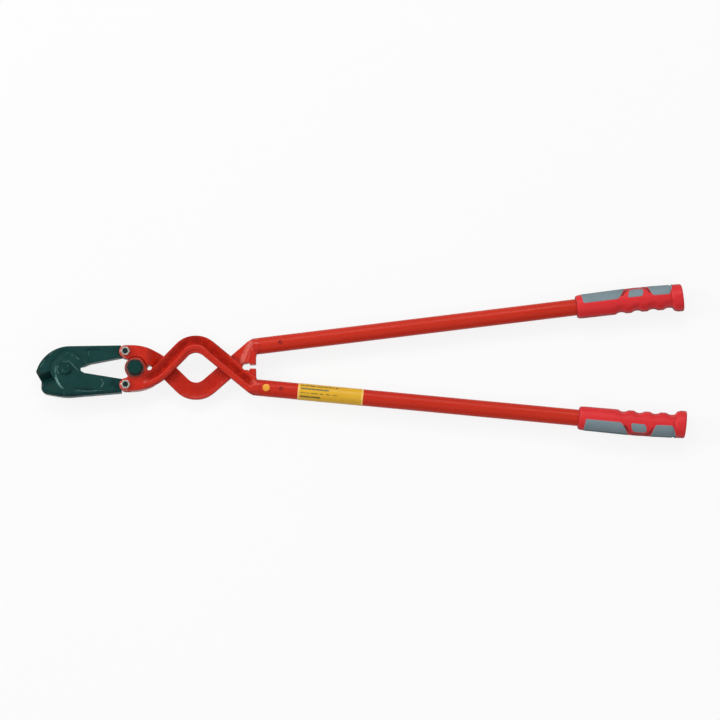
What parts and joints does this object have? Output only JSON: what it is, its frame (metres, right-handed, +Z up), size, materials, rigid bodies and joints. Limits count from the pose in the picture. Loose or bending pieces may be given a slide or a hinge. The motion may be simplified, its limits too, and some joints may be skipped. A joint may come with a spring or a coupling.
{
  "type": "bolt cutters",
  "caption": "Long-handled crossed-arm bolt cutters with half-lapped centre-cut jaws, forged arms, tube handles and moulded grips.",
  "frame": {"origin": "on the axis of the centre bolt, at the face of its nut, which lies level with the lowest edges of the two grips when the closed tool lies flat", "axes": "+X from the centre bolt towards the handles, +Y towards the upper handle, +Z up, along the centre bolt towards its head"},
  "size_m": [0.9023, 0.2158, 0.0393],
  "materials": {
    "jaw": "dark green semi-gloss coat on forged steel",
    "blackened_bolt": "dark green coated bolt heads",
    "zinc": "plain zinc-plated steel",
    "pin_steel": "spring pin, painted over with the tube",
    "arm_paint": "red semi-gloss paint on a forging",
    "tube_paint": "red satin paint on steel tube",
    "grip": "moulded crimson grip, fine matt texture",
    "inlay": "grey-blue soft inlay",
    "label": "yellow vinyl sticker"
  },
  "bodies": {
    "lower_handle": {"front_arm": "arm_paint", "centre_bolt": "blackened_bolt", "front_washer": "zinc", "rear_washer": "zinc", "centre_nut": "zinc", "lower_link_bolt": "blackened_bolt", "lower_link_nut": "zinc", "lower_tube": "tube_paint", "lower_tube_pin": "pin_steel", "lower_grip": "grip", "lower_inlay_front": "inlay", "lower_inlay_middle": "inlay", "lower_inlay_rear": "inlay", "tube_label": "label", "marker_dot": "label"},
    "upper_handle": {"rear_arm": "arm_paint", "upper_link_bolt": "blackened_bolt", "upper_link_nut": "zinc", "upper_tube": "tube_paint", "upper_tube_pin": "pin_steel", "upper_grip": "grip", "upper_inlay_front": "inlay", "upper_inlay_middle": "inlay", "upper_inlay_rear": "inlay"},
    "upper_jaw": {"upper_jaw": "jaw"},
    "lower_jaw": {"lower_jaw": "jaw", "jaw_bolt": "blackened_bolt", "jaw_washer": "zinc", "jaw_nut": "zinc"}
  },
  "joints": [
    {"name": "handles", "type": "hinge", "parent": "lower_handle", "child": "upper_handle", "pos_m": [0, 0, 0.01925], "axis": [0, 0, 1], "range_deg": [0, 76]},
    {"name": "upper_jaw_link", "type": "hinge", "parent": "upper_handle", "child": "upper_jaw", "pos_m": [-0.01345, 0.0233, 0.01925], "axis": [0, 0, 1], "range_deg": [-47, 0]},
    {"name": "lower_jaw_link", "type": "hinge", "parent": "lower_handle", "child": "lower_jaw", "pos_m": [-0.01345, -0.0233, 0.01925], "axis": [0, 0, 1], "range_deg": [0, 47]}
  ],
  "couplings": [
    {"joint": "upper_jaw_link", "follows": "handles", "ratio": -0.611},
    {"joint": "lower_jaw_link", "follows": "handles", "ratio": 0.611}
  ]
}
